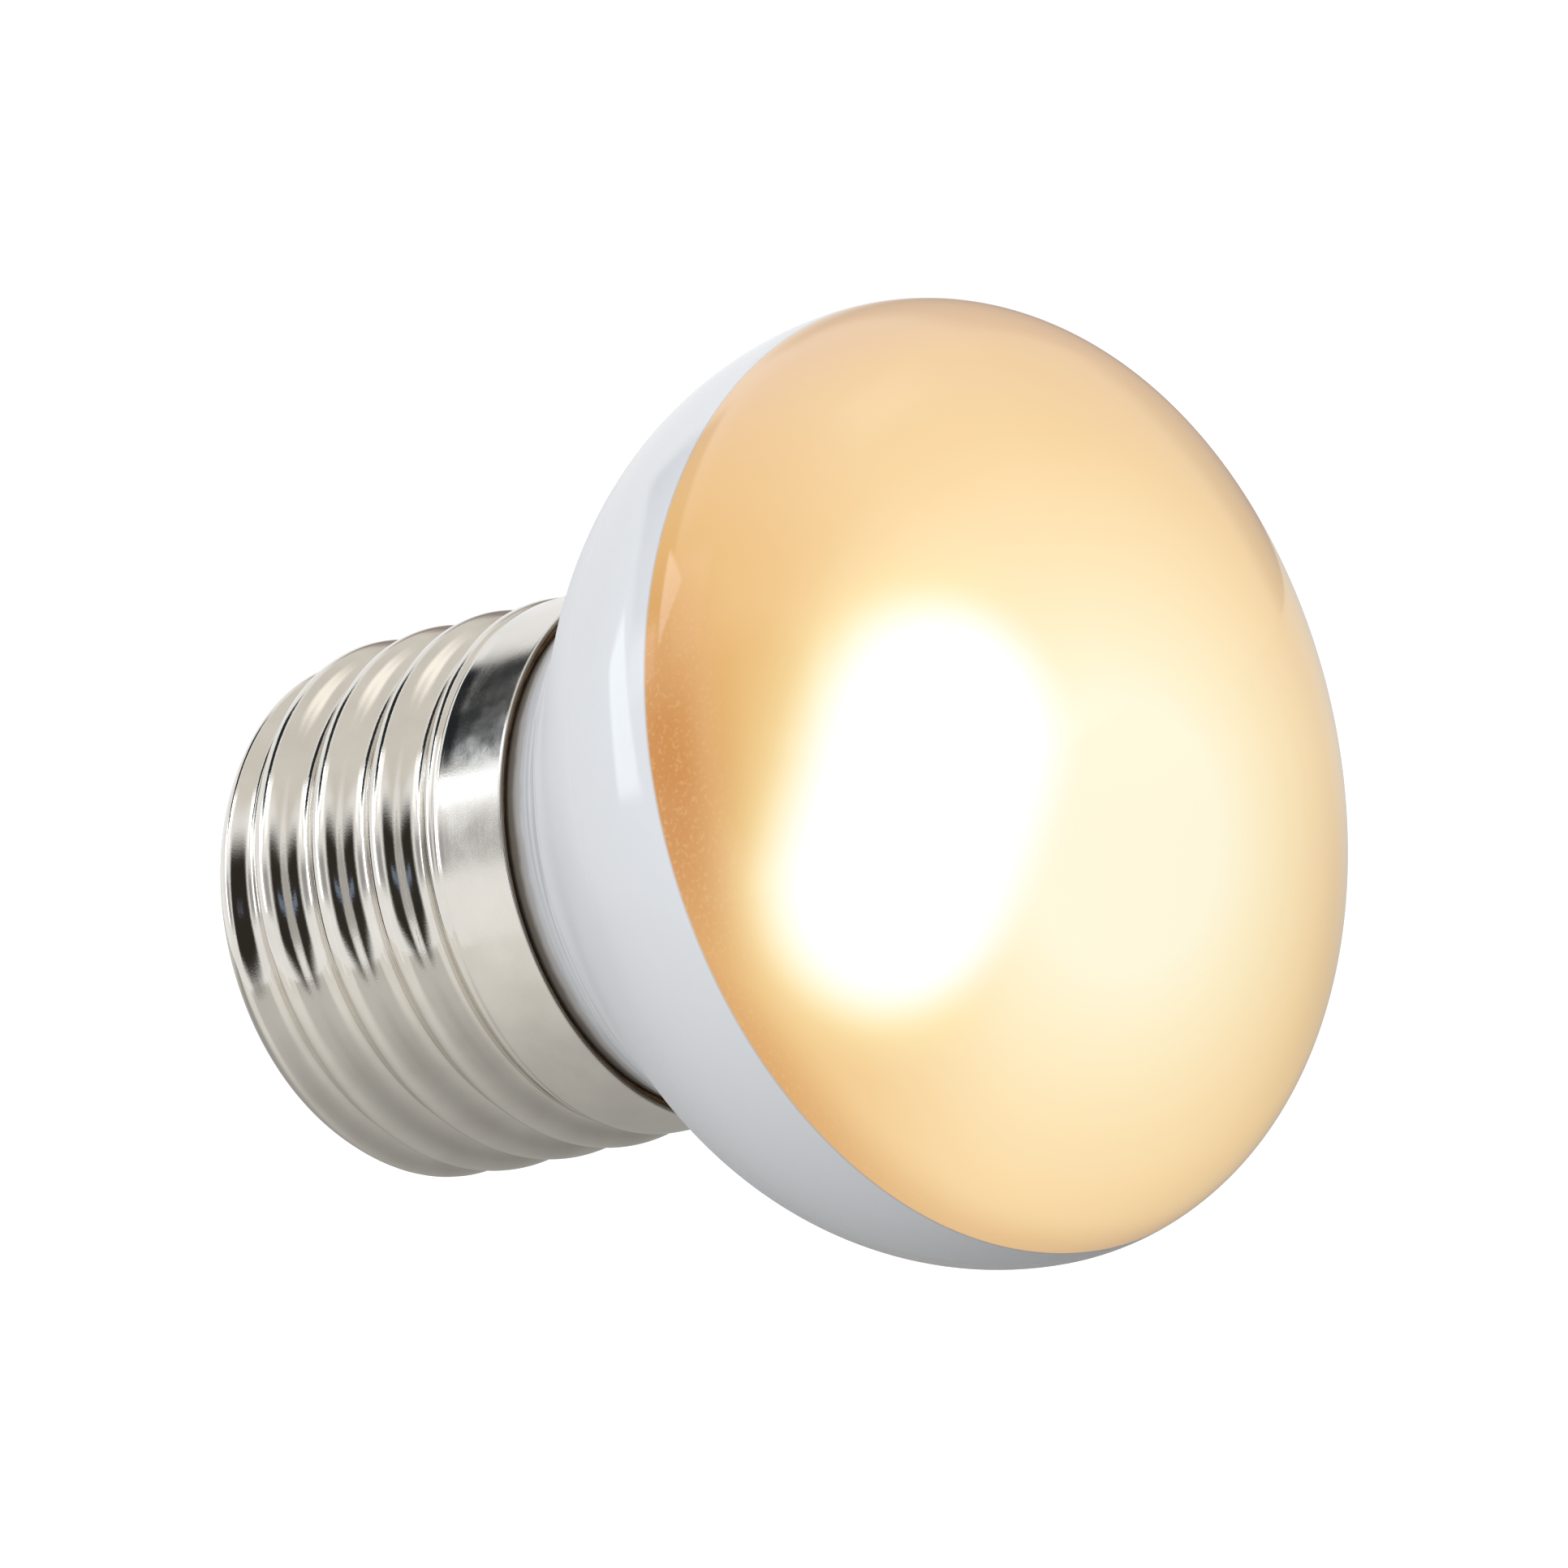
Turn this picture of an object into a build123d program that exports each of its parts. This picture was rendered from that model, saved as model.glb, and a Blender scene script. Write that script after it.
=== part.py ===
from build123d import *
import math
import os

# Basking bulb: a small reflector lamp with a medium screw cap. Lengths are in millimetres.
# It is drawn upright, Z from the contact tip at 0 up to the crown of the face, and laid level at the end.

# Glass
head_diameter = 44.6       # widest circle of the head
widest_height = 17.6       # the widest circle above the skirt rim
face_rise = 13.2           # crown of the face above the widest circle
face_shoulder = 9.0        # rounding of the face's edge, which runs into a spherical crown
flare_angle = 44.3         # straight flare between neck and reflector, from the axis
neck_clearance = 0.5       # between the neck and the inside of the thread
neck_depth = 12.4          # reach of the neck below the skirt rim
flare_height = 0.5         # where the neck would meet the flare, above the skirt rim
flare_fillet = 8.0         # wide rounding between neck and flare
fillet_share = 0.9         # most of the straight flare that this rounding may take
neck_bevel = 0.8           # melted edge of the neck's end, where the stem is sealed on
stem_rim = 2.4             # width of the neck's flat end round the hollow stem
stem_roof = 9.0            # diameter of the stem's flat roof
stem_depth = 8.0
exhaust_diameter = 3.6     # sealed stub of the tube that the bulb was filled through
exhaust_length = 6.0
exhaust_tip = 1.6          # point that the stub was drawn to

# Screw shell
cap_length = 24.4          # contact tip to skirt rim
shell_drop = 5.0           # contact tip to the turned-in end of the shell
sheet = 0.25
thread_major = 26.3
thread_depth = 1.0
thread_pitch = 3.629       # seven turns to the inch
thread_start_angle = 352.0 # crest at the thread's foot
lower_runout = 1.5
upper_runout = 2.2
skirt_step = 0.2           # smooth skirt inside the thread's crest
skirt_height = 3.6
sections_per_turn = 12
shoulder_width = 2.6       # rounding into the turned-in end, across
shoulder_height = 2.9      # and along the axis
lip_width = 0.75           # flat of the turned-in end, round its hole

# Cement
cement_drop = 0.4          # top of the cement below the skirt rim

# Insulator and contacts
contact_diameter = 9.8
contact_thickness = 0.8
contact_bevel = 0.4
rivet_diameter = 4.8       # collar of the contact, held in the insulator
rivet_height = 1.5
rivet_hole = 1.2
solder_diameter = 5.2
solder_height = 0.9
solder_plug = 1.3          # solder drawn up into the rivet hole
insulator_foot = 10.6      # diameter of the insulator's flat under the contact
dish_mouth = 14.0          # hollow in the insulator, open to the neck
dish_floor = 6.0
dish_depth = 3.0
lead_hole = 2.4            # way for the centre lead through the insulator

# Lead wires
lead_diameter = 0.4
lead_spread = 5.8          # distance between the leads at the stem
lead_drop = 1.2            # level run of the side lead below the neck's end
lead_bend = 1.0
lead_bury = 0.4            # end of each lead inside its solder
side_solder_diameter = 2.2

# Heights and radii that follow from these
rim_z = cap_length
neck_end_z = rim_z - neck_depth
stem_roof_z = neck_end_z + stem_depth
widest_z = rim_z + widest_height
cement_z = rim_z - cement_drop
thread_top_z = rim_z - skirt_height
thread_foot_z = shell_drop + shoulder_height
lip_top_z = shell_drop + sheet
contact_z = solder_height
foot_z = contact_z + contact_thickness
head_radius = head_diameter / 2
crest_radius = thread_major / 2
skirt_radius = crest_radius - skirt_step
skirt_bore = skirt_radius - sheet
thread_bore = crest_radius - thread_depth - sheet
neck_radius = thread_bore - neck_clearance
shoulder_radius = skirt_radius - shoulder_width
lip_radius = shoulder_radius - lip_width
lead_radius = lead_diameter / 2
lead_path_radius = (neck_radius + thread_bore) / 2
lead_rim_radius = skirt_bore - lead_diameter
side_solder_radius = (neck_radius + skirt_radius) / 2


def turned(outline):
    """Solid of revolution of a closed outline drawn as radius and height."""
    return revolve(Plane.XZ * make_face(outline), Axis.Z)


def ring(inner_radius, outer_radius, bottom, top):
    """Plain ring round the axis between two heights."""
    corners = [
        (inner_radius, bottom),
        (outer_radius, bottom),
        (outer_radius, top),
        (inner_radius, top),
    ]
    return turned(Polyline(*corners, close=True))


def reflector_radius():
    """Radius of the arc that leaves the widest circle along the axis and runs into the straight flare."""
    flare = math.radians(flare_angle)
    rise = widest_height - flare_height
    return (rise * math.sin(flare) - (head_radius - neck_radius) * math.cos(flare)) / (1 - math.cos(flare))


def face_joint():
    """Point where the rounded edge of the face runs into its spherical crown."""
    shoulder_centre = head_radius - face_shoulder
    crown_radius = (shoulder_centre**2 + face_rise**2 - face_shoulder**2) / (2 * (face_rise - face_shoulder))
    angle = math.atan2(shoulder_centre, crown_radius - face_rise)
    return crown_radius * math.sin(angle), widest_z + face_rise - crown_radius * (1 - math.cos(angle))


def make_glass_bulb():
    """Sealed bulb: domed face, reflector, flare, neck, and the hollow stem with its exhaust stub."""
    flare = math.radians(flare_angle)
    radius = reflector_radius()
    widest = (head_radius, widest_z)
    touch = (head_radius - radius * (1 - math.cos(flare)), widest_z - radius * math.sin(flare))
    meet_z = rim_z + flare_height
    straight = math.dist((neck_radius, meet_z), touch)
    setback = min(flare_fillet * math.tan(flare / 2), fillet_share * straight)
    fillet_low = (neck_radius, meet_z - setback)
    fillet_high = (neck_radius + setback * math.sin(flare), meet_z + setback * math.cos(flare))
    crown = (0, widest_z + face_rise)
    crown_edge = face_joint()

    mouth_radius = neck_radius - neck_bevel - stem_rim
    stub_radius = exhaust_diameter / 2
    stub_z = stem_roof_z - exhaust_length

    outline = Polyline(
        crown,
        (0, stub_z),
        (stub_radius, stub_z + exhaust_tip),
        (stub_radius, stem_roof_z),
        (stem_roof / 2, stem_roof_z),
        (mouth_radius, neck_end_z),
        (neck_radius - neck_bevel, neck_end_z),
        (neck_radius, neck_end_z + neck_bevel),
        fillet_low,
    )
    outline += TangentArc(fillet_low, fillet_high, tangent=(0, 1))
    outline += Line(fillet_high, touch)
    outline += TangentArc(widest, touch, tangent=(0, -1))
    outline += TangentArc(widest, crown_edge, tangent=(0, 1))
    outline += TangentArc(crown, crown_edge, tangent=(1, 0))
    return turned(outline)


def eased(share):
    """Smooth step from 0 to 1."""
    share = min(max(share, 0.0), 1.0)
    return share * share * (3 - 2 * share)


def thread_section(height):
    """Level cut through the thread: a circle set off the axis by half the depth.

    The offset goes round once in each pitch, which is what makes the round right-hand thread, and fades
    out over the two run-outs.
    """
    fade = eased((height - thread_foot_z) / lower_runout) * eased((thread_top_z - height) / upper_runout)
    mean_radius = crest_radius - thread_depth / 2
    offset = fade * thread_depth / 2
    radius = skirt_radius + fade * (mean_radius - skirt_radius)
    turn = math.radians(thread_start_angle) + 2 * math.pi * (height - thread_foot_z) / thread_pitch
    return Pos(offset * math.cos(turn), offset * math.sin(turn), height) * Circle(radius)


def shoulder_corner():
    """Inside of the shell's shoulder, in two straight runs that the insulator fills."""
    diagonal = math.sqrt(0.5)
    return [
        (shoulder_radius, lip_top_z),
        (
            shoulder_radius + diagonal * (shoulder_width - sheet),
            thread_foot_z - diagonal * (shoulder_height - sheet),
        ),
        (skirt_bore, thread_foot_z),
    ]


def make_screw_shell():
    """Rolled shell: turned-in end, thread with its run-outs, and smooth skirt."""
    end = Polyline((0, thread_foot_z), (0, shell_drop), (shoulder_radius, shell_drop))
    end += EllipticalCenterArc(
        (shoulder_radius, thread_foot_z),
        shoulder_width,
        shoulder_height,
        start_angle=-90,
        arc_size=90,
    )
    end += Line((skirt_radius, thread_foot_z), (0, thread_foot_z))

    length = thread_top_z - thread_foot_z
    steps = math.ceil(sections_per_turn * length / thread_pitch)
    thread = loft([thread_section(thread_foot_z + length * i / steps) for i in range(steps + 1)])

    skirt = ring(0, skirt_radius, thread_top_z, rim_z)

    inside = Polyline(
        (0, shell_drop),
        (lip_radius, shell_drop),
        (lip_radius, lip_top_z),
        *shoulder_corner(),
        (thread_bore, thread_foot_z),
        (thread_bore, thread_top_z),
        (skirt_bore, thread_top_z),
        (skirt_bore, rim_z),
        (0, rim_z),
        close=True,
    )
    return turned(end) + thread + skirt - turned(inside)


def make_insulator():
    """Black glass that fills the turned-in end, with the contact's seat below and a hollow above."""
    dish_z = thread_foot_z - dish_depth
    rivet_z = foot_z + rivet_height
    outline = Polyline(
        (rivet_diameter / 2, rivet_z),
        (rivet_diameter / 2, foot_z),
        (insulator_foot / 2, foot_z),
        (lip_radius, shell_drop),
        (lip_radius, lip_top_z),
        *shoulder_corner(),
        (dish_mouth / 2, thread_foot_z),
        (dish_floor / 2, dish_z),
        (lead_hole / 2, dish_z),
        (lead_hole / 2, rivet_z),
        close=True,
    )
    return turned(outline)


def make_centre_contact():
    """Brass eyelet: a disc with a bevelled edge, and a collar that the insulator holds."""
    edge = contact_diameter / 2
    hole = rivet_hole / 2
    outline = Polyline(
        (hole, contact_z),
        (edge - contact_bevel, contact_z),
        (edge, contact_z + contact_bevel),
        (edge, foot_z),
        (rivet_diameter / 2, foot_z),
        (rivet_diameter / 2, foot_z + rivet_height),
        (hole, foot_z + rivet_height),
        (hole, contact_z),
    )
    return turned(outline)


def make_contact_solder():
    """Solder dome on the contact, with a plug in its hole round the centre lead."""
    rim = (solder_diameter / 2, contact_z)
    hole = rivet_hole / 2
    plug_top = contact_z + solder_plug
    outline = TangentArc((0, 0), rim, tangent=(1, 0))
    outline += Polyline(
        rim,
        (hole, contact_z),
        (hole, plug_top),
        (lead_radius, plug_top),
        (lead_radius, lead_bury),
        (0, lead_bury),
        (0, 0),
    )
    return turned(outline)


def wire(*points):
    """Lead wire in the plane through the axis and +X, each corner cut off by a short run between two kinks."""
    corners = [Vector(x, 0, z) for x, z in points]
    route = [corners[0]]
    for before, corner, after in zip(corners, corners[1:], corners[2:]):
        route.append(corner + (before - corner).normalized() * lead_bend)
        route.append(corner + (after - corner).normalized() * lead_bend)
    route.append(corners[-1])
    path = Polyline(*route)
    section = Plane(origin=path @ 0, z_dir=path % 0) * Circle(lead_radius)
    return sweep(section, path=path, transition=Transition.RIGHT)


def make_centre_lead():
    """Wire from the stem's roof to the middle, and down into the solder of the contact."""
    start = -lead_spread / 2
    bend_z = neck_end_z - lead_drop
    return wire((start, stem_roof_z), (start, bend_z), (0, bend_z + start), (0, lead_bury))


def make_side_lead():
    """Wire from the stem's roof, under the neck's end, up beside the neck and out to the skirt rim."""
    start = lead_spread / 2
    run_z = neck_end_z - lead_drop
    return wire(
        (start, stem_roof_z),
        (start, run_z),
        (lead_path_radius, run_z),
        (lead_path_radius, thread_top_z + lead_bend),
        (lead_rim_radius, cement_z + lead_bury),
    )


glass_bulb = make_glass_bulb()
screw_shell = make_screw_shell()
side_lead = make_side_lead()
basing_cement = ring(neck_radius, skirt_bore, thread_top_z, cement_z) - glass_bulb - side_lead
solder_ball = Pos(side_solder_radius, 0, rim_z) * Sphere(side_solder_diameter / 2)
side_solder = solder_ball - screw_shell - glass_bulb - basing_cement - side_lead

pieces = {
    "glass_bulb": glass_bulb,
    "screw_shell": screw_shell,
    "basing_cement": basing_cement,
    "cap_insulator": make_insulator(),
    "centre_contact": make_centre_contact(),
    "contact_solder": make_contact_solder(),
    "centre_lead": make_centre_lead(),
    "side_lead": side_lead,
    "side_solder": side_solder,
}

# The lamp lies level in its own frame: contact tip at the origin, face towards -Y, +Z up.
lay_level = Rot(90, 0, 0)

os.makedirs("parts", exist_ok=True)
for name, piece in pieces.items():
    export_step(lay_level * piece, f"parts/{name}.step")
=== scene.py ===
import math

import bpy
import numpy as np
from mathutils import Matrix, Vector


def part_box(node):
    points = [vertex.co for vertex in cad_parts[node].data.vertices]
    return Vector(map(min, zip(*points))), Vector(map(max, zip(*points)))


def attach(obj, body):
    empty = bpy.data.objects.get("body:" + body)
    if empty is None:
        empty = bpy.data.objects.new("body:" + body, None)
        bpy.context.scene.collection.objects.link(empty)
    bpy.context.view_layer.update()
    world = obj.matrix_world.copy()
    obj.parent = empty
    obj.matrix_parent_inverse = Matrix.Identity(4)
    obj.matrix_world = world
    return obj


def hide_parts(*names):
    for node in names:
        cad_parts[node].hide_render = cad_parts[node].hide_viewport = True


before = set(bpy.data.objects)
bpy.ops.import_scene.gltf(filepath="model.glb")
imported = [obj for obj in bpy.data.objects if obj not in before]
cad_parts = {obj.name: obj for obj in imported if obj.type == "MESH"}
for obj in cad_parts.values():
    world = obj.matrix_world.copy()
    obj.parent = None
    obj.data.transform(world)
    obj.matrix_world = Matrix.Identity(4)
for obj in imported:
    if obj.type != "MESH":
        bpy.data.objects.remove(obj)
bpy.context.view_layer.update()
scene = bpy.context.scene
scene.view_settings.view_transform = "Standard"
print("frame loaded:", len(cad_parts), "nodes")

# Heights run from the contact tip towards the face, which is -Y in the model. Sizes are in mm.
mm = 0.001
glassLow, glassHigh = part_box("glass_bulb")
shellLow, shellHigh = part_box("screw_shell")
headRadius = glassHigh.x / mm                 # widest circle of the head
crownHeight = -glassLow.y / mm                # contact tip to crown of the face
rimHeight = -shellLow.y / mm                  # contact tip to skirt rim
shellFoot = -shellHigh.y / mm                 # contact tip to the turned-in end

cameraSet = {
    "photoSide": 1932,                        # square picture, pixels
    "focal": 9176.0,                          # pixels
    "rimPixel": (844.5, 1046.5),              # middle of the skirt rim
    "rimDepth": 350.0,                        # mm along the view
    "axisOffView": 51.83,                     # degrees between lamp axis and line of sight
    "axisAboveLevel": 13.38,                  # degrees, in the picture
    "facingSide": 169.8,                      # degrees round the axis, the side turned to the camera
    "sensor": 36.0,                           # mm, width of the picture in the camera
    "clipStart": 0.01,                        # m
}


def makeCamera(s):
    # lamp axis, facing side and their cross product, as the camera sees them and as the model has them
    tilt, rise = np.radians([s["axisOffView"], s["axisAboveLevel"]])
    axisSeen = np.array([np.sin(tilt) * np.cos(rise), -np.sin(tilt) * np.sin(rise), -np.cos(tilt)])
    towards = np.array([0.0, 0.0, -1.0])
    facingSeen = towards - towards.dot(axisSeen) * axisSeen
    facingSeen /= np.linalg.norm(facingSeen)
    seen = np.stack([axisSeen, facingSeen, np.cross(axisSeen, facingSeen)], 1)
    side = math.radians(s["facingSide"])
    axisHere = np.array([0.0, -1.0, 0.0])
    facingHere = np.array([math.cos(side), 0.0, math.sin(side)])
    here = np.stack([axisHere, facingHere, np.cross(axisHere, facingHere)], 1)
    turn = here @ seen.T                      # camera right, down and away, to model axes
    middle = s["photoSide"] / 2
    rimX, rimY = s["rimPixel"]
    rimSeen = np.array([(rimX - middle) / s["focal"], (rimY - middle) / s["focal"], 1.0])
    eye = np.array([0.0, -rimHeight, 0.0]) - turn @ (rimSeen * s["rimDepth"])
    data = bpy.data.cameras.new("photoCamera")
    data.sensor_width = s["sensor"]
    data.lens = s["focal"] / s["photoSide"] * s["sensor"]
    data.clip_start = s["clipStart"]
    cam = bpy.data.objects.new("photoCamera", data)
    scene.collection.objects.link(cam)
    axes = np.stack([turn[:, 0], -turn[:, 1], -turn[:, 2]], 1)
    cam.matrix_world = Matrix.Translation(Vector(eye * mm)) @ Matrix(axes.tolist()).to_4x4()
    scene.camera = cam


makeCamera(cameraSet)
print("camera set")


# Mesh helpers
noTris = np.zeros((0, 3), int)


def fillMesh(name, verts, quads, tris):
    # smooth mesh from corner points in m and faces with four and three corners
    loops = np.concatenate([quads.ravel(), tris.ravel()])
    sizes = np.concatenate([np.full(len(quads), 4), np.full(len(tris), 3)])
    mesh = bpy.data.meshes.new(name)
    mesh.vertices.add(len(verts))
    mesh.vertices.foreach_set("co", verts.astype(np.float32).ravel())
    mesh.loops.add(len(loops))
    mesh.loops.foreach_set("vertex_index", loops.astype(np.int32))
    mesh.polygons.add(len(sizes))
    mesh.polygons.foreach_set("loop_start", (np.cumsum(sizes) - sizes).astype(np.int32))
    mesh.polygons.foreach_set("loop_total", sizes.astype(np.int32))
    mesh.polygons.foreach_set("use_smooth", np.ones(len(sizes), bool))
    mesh.update(calc_edges=True)
    mesh.validate()
    piece = bpy.data.objects.new(name, mesh)
    scene.collection.objects.link(piece)
    return piece


def closedPiece(name, points, material, loop=False):
    # points[row, column] go once round the axis; the rows close on themselves, or end in two poles
    rows, cols, _ = points.shape
    here = np.arange(cols)
    beside = np.roll(here, -1)
    if loop:
        verts = points.reshape(-1, 3)
        start = np.arange(rows) * cols
        above = np.roll(start, -1)
        tris = noTris
    else:
        verts = np.vstack([points[1:-1].reshape(-1, 3), points[0, :1], points[-1, :1]])
        start = np.arange(rows - 3) * cols
        above = start + cols
        firstPole, lastPole, lastRing = len(verts) - 2, len(verts) - 1, (rows - 3) * cols
        first = np.stack([np.full(cols, firstPole), beside, here], 1)
        last = np.stack([np.full(cols, lastPole), lastRing + here, lastRing + beside], 1)
        tris = np.vstack([first, last])
    start, above = start[:, None], above[:, None]
    quads = np.stack([start + here, start + beside, above + beside, above + here], -1).reshape(-1, 4)
    split = np.vstack([quads[:, [0, 1, 2]], quads[:, [0, 2, 3]], tris])
    a, b, c = (verts[split[:, k]] for k in range(3))
    if np.einsum("ij,ij->i", a, np.cross(b, c)).sum() < 0:      # turn the faces outwards
        quads, tris = quads[:, ::-1], tris[:, ::-1]
    piece = fillMesh(name, verts * mm, quads, tris)
    piece.data.materials.append(material)
    return piece


def dress(piece, node):
    # the piece stands for one CAD node and rides with the lamp
    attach(piece, "root")
    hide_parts(node)
    print(piece.name, "made:", len(piece.data.polygons), "faces")


def turns(cols):
    # evenly spaced angles, once round the axis
    return np.linspace(0, 2 * np.pi, cols, endpoint=False)


def spin(profile, cols):
    # each profile point (radius, height) is carried once round the axis
    turn = turns(cols)
    radius, height = profile[:, :1], profile[:, 1:]
    level = np.broadcast_to(-height, (len(profile), cols))
    return np.stack([radius * np.cos(turn), level, radius * np.sin(turn)], -1)


def arc(middle, radius, fromDeg, toDeg, count):
    # points on part of a circle, in radius and height
    t = np.radians(np.linspace(fromDeg, toDeg, count))
    return np.stack([middle[0] + radius * np.cos(t), middle[1] + radius * np.sin(t)], 1)


def line(start, end, count):
    # evenly spaced points, without the last one
    return np.linspace(start, end, count, endpoint=False)


def eased(share):
    # smooth step from 0 to 1
    share = np.clip(share, 0.0, 1.0)
    return share * share * (3 - 2 * share)


def wander(turn, waves):
    # uneven edge: a sum of sine waves round the axis, each (times round, size, start in degrees)
    return sum(size * np.sin(times * turn + math.radians(start)) for times, size, start in waves)


def metres(values):
    # lengths in mm, as Blender takes them
    return [v * mm for v in values]


# Shader helpers
def newMaterial(name):
    mat = bpy.data.materials.new(name)
    mat.use_nodes = True
    return mat, mat.node_tree, mat.node_tree.nodes["Principled BSDF"]


def node(tree, kind, **settings):
    made = tree.nodes.new(kind)
    for key, value in settings.items():
        setattr(made, key, value)
    return made


def feed(tree, socket, value):
    # a link if the value is a socket, or else a plain number or colour
    if isinstance(value, bpy.types.NodeSocket):
        tree.links.new(value, socket)
    else:
        socket.default_value = value


def calc(tree, operation, a, b=0.0):
    made = node(tree, "ShaderNodeMath", operation=operation)
    feed(tree, made.inputs[0], a)
    feed(tree, made.inputs[1], b)
    return made.outputs[0]


def between(tree, value, low, high, outLow=0.0, outHigh=1.0, smooth=True):
    # outLow up to low, outHigh from high on, and a smooth step or a straight line in between
    made = node(tree, "ShaderNodeMapRange", interpolation_type="SMOOTHSTEP" if smooth else "LINEAR")
    names = ("Value", "From Min", "From Max", "To Min", "To Max")
    for key, v in zip(names, (value, low, high, outLow, outHigh)):
        feed(tree, made.inputs[key], v)
    return made.outputs["Result"]


def blend(tree, factor, a, b, mode="MIX"):
    # mix of two colours, which are sockets 6 and 7 of the node
    made = node(tree, "ShaderNodeMix", data_type="RGBA", blend_type=mode)
    feed(tree, made.inputs[0], factor)
    for socket, v in ((made.inputs[6], a), (made.inputs[7], b)):
        feed(tree, socket, v if isinstance(v, bpy.types.NodeSocket) else (*v, 1.0))
    return made.outputs[2]


def ramp(tree, value, stops):
    # colour by value, straight between stops of a position and a colour
    made = node(tree, "ShaderNodeValToRGB")
    band = made.color_ramp
    while len(band.elements) < len(stops):
        band.elements.new(0.5)
    for element, (at, colour) in zip(band.elements, stops):
        element.position = at
        element.color = (*colour, 1.0)
    feed(tree, made.inputs["Fac"], value)
    return made.outputs["Color"]


def objectPoint(tree):
    return node(tree, "ShaderNodeTexCoord").outputs["Object"]


def parts(tree, vector):
    made = node(tree, "ShaderNodeSeparateXYZ")
    feed(tree, made.inputs[0], vector)
    return made.outputs


def distanceTo(tree, vector, point, stretch):
    # distance to a point in mm, with each axis divided by its own stretch
    away = node(tree, "ShaderNodeVectorMath", operation="SUBTRACT")
    feed(tree, away.inputs[0], vector)
    away.inputs[1].default_value = metres(point)
    scaled = node(tree, "ShaderNodeVectorMath", operation="DIVIDE")
    feed(tree, scaled.inputs[0], away.outputs[0])
    scaled.inputs[1].default_value = metres(stretch)
    length = node(tree, "ShaderNodeVectorMath", operation="LENGTH")
    feed(tree, length.inputs[0], scaled.outputs[0])
    return length.outputs["Value"]


def bump(tree, height, strength, depth):
    made = node(tree, "ShaderNodeBump")
    made.inputs["Strength"].default_value = strength
    made.inputs["Distance"].default_value = depth * mm
    feed(tree, made.inputs["Height"], height)
    return made.outputs["Normal"]


def makeGroup(name, inputs, outputs):
    # node group with inputs of a label, a kind and a first value, and outputs that are all numbers
    group = bpy.data.node_groups.new(name, "ShaderNodeTree")
    for label, kind, value in inputs:
        socket = group.interface.new_socket(name=label, in_out="INPUT", socket_type=kind)
        if value is not None:
            socket.default_value = value
    for label in outputs:
        group.interface.new_socket(name=label, in_out="OUTPUT", socket_type="NodeSocketFloat")
    return group, group.nodes.new("NodeGroupInput").outputs, group.nodes.new("NodeGroupOutput").inputs


def place(tree, group, **values):
    made = node(tree, "ShaderNodeGroup", node_tree=group)
    for key, value in values.items():
        feed(tree, made.inputs[key], value)
    return made.outputs


def noise(tree, point, size, detail):
    # cloud noise with lumps of about this size in mm
    made = node(tree, "ShaderNodeTexNoise")
    made.inputs["Detail"].default_value = detail
    feed(tree, made.inputs["Vector"], point)
    feed(tree, made.inputs["Scale"], calc(tree, "DIVIDE", 1.0 / mm, size))
    return made.outputs["Fac"]


# Fine detail of the noise, and how far its lines are drawn out round the axis
clouds = {"patchDetail": 4.0, "grainDetail": 2.0, "lineDetail": 3.0, "lineSqueeze": (0.03, 1.0, 0.03)}


def mottleGroup(s):
    # cloudy patches, and fine grains on their own
    inputs = [("Point", "NodeSocketVector", None), ("Patch", "NodeSocketFloat", 1.0),
              ("Grain", "NodeSocketFloat", 0.1)]
    group, given, out = makeGroup("mottle", inputs, ["Patches", "Grains"])
    feed(group, out["Patches"], noise(group, given["Point"], given["Patch"], s["patchDetail"]))
    feed(group, out["Grains"], noise(group, given["Point"], given["Grain"], s["grainDetail"]))
    return group


def turnedLinesGroup(s):
    # fine uneven lines round the axis, as rolling or turning leaves them
    inputs = [("Point", "NodeSocketVector", None), ("Spacing", "NodeSocketFloat", 0.2)]
    group, given, out = makeGroup("turnedLines", inputs, ["Lines"])
    squeeze = node(group, "ShaderNodeVectorMath", operation="MULTIPLY")
    feed(group, squeeze.inputs[0], given["Point"])
    squeeze.inputs[1].default_value = s["lineSqueeze"]
    feed(group, out["Lines"], noise(group, squeeze.outputs[0], given["Spacing"], s["lineDetail"]))
    return group


mottle = mottleGroup(clouds)
turnedLines = turnedLinesGroup(clouds)
print("shader groups ready")

# In the values of the pieces, patch, grain and spacing are sizes of the noise in mm, rough is two levels of
# the noise and the roughness at each, and bump is a strength and a depth in mm.


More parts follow.
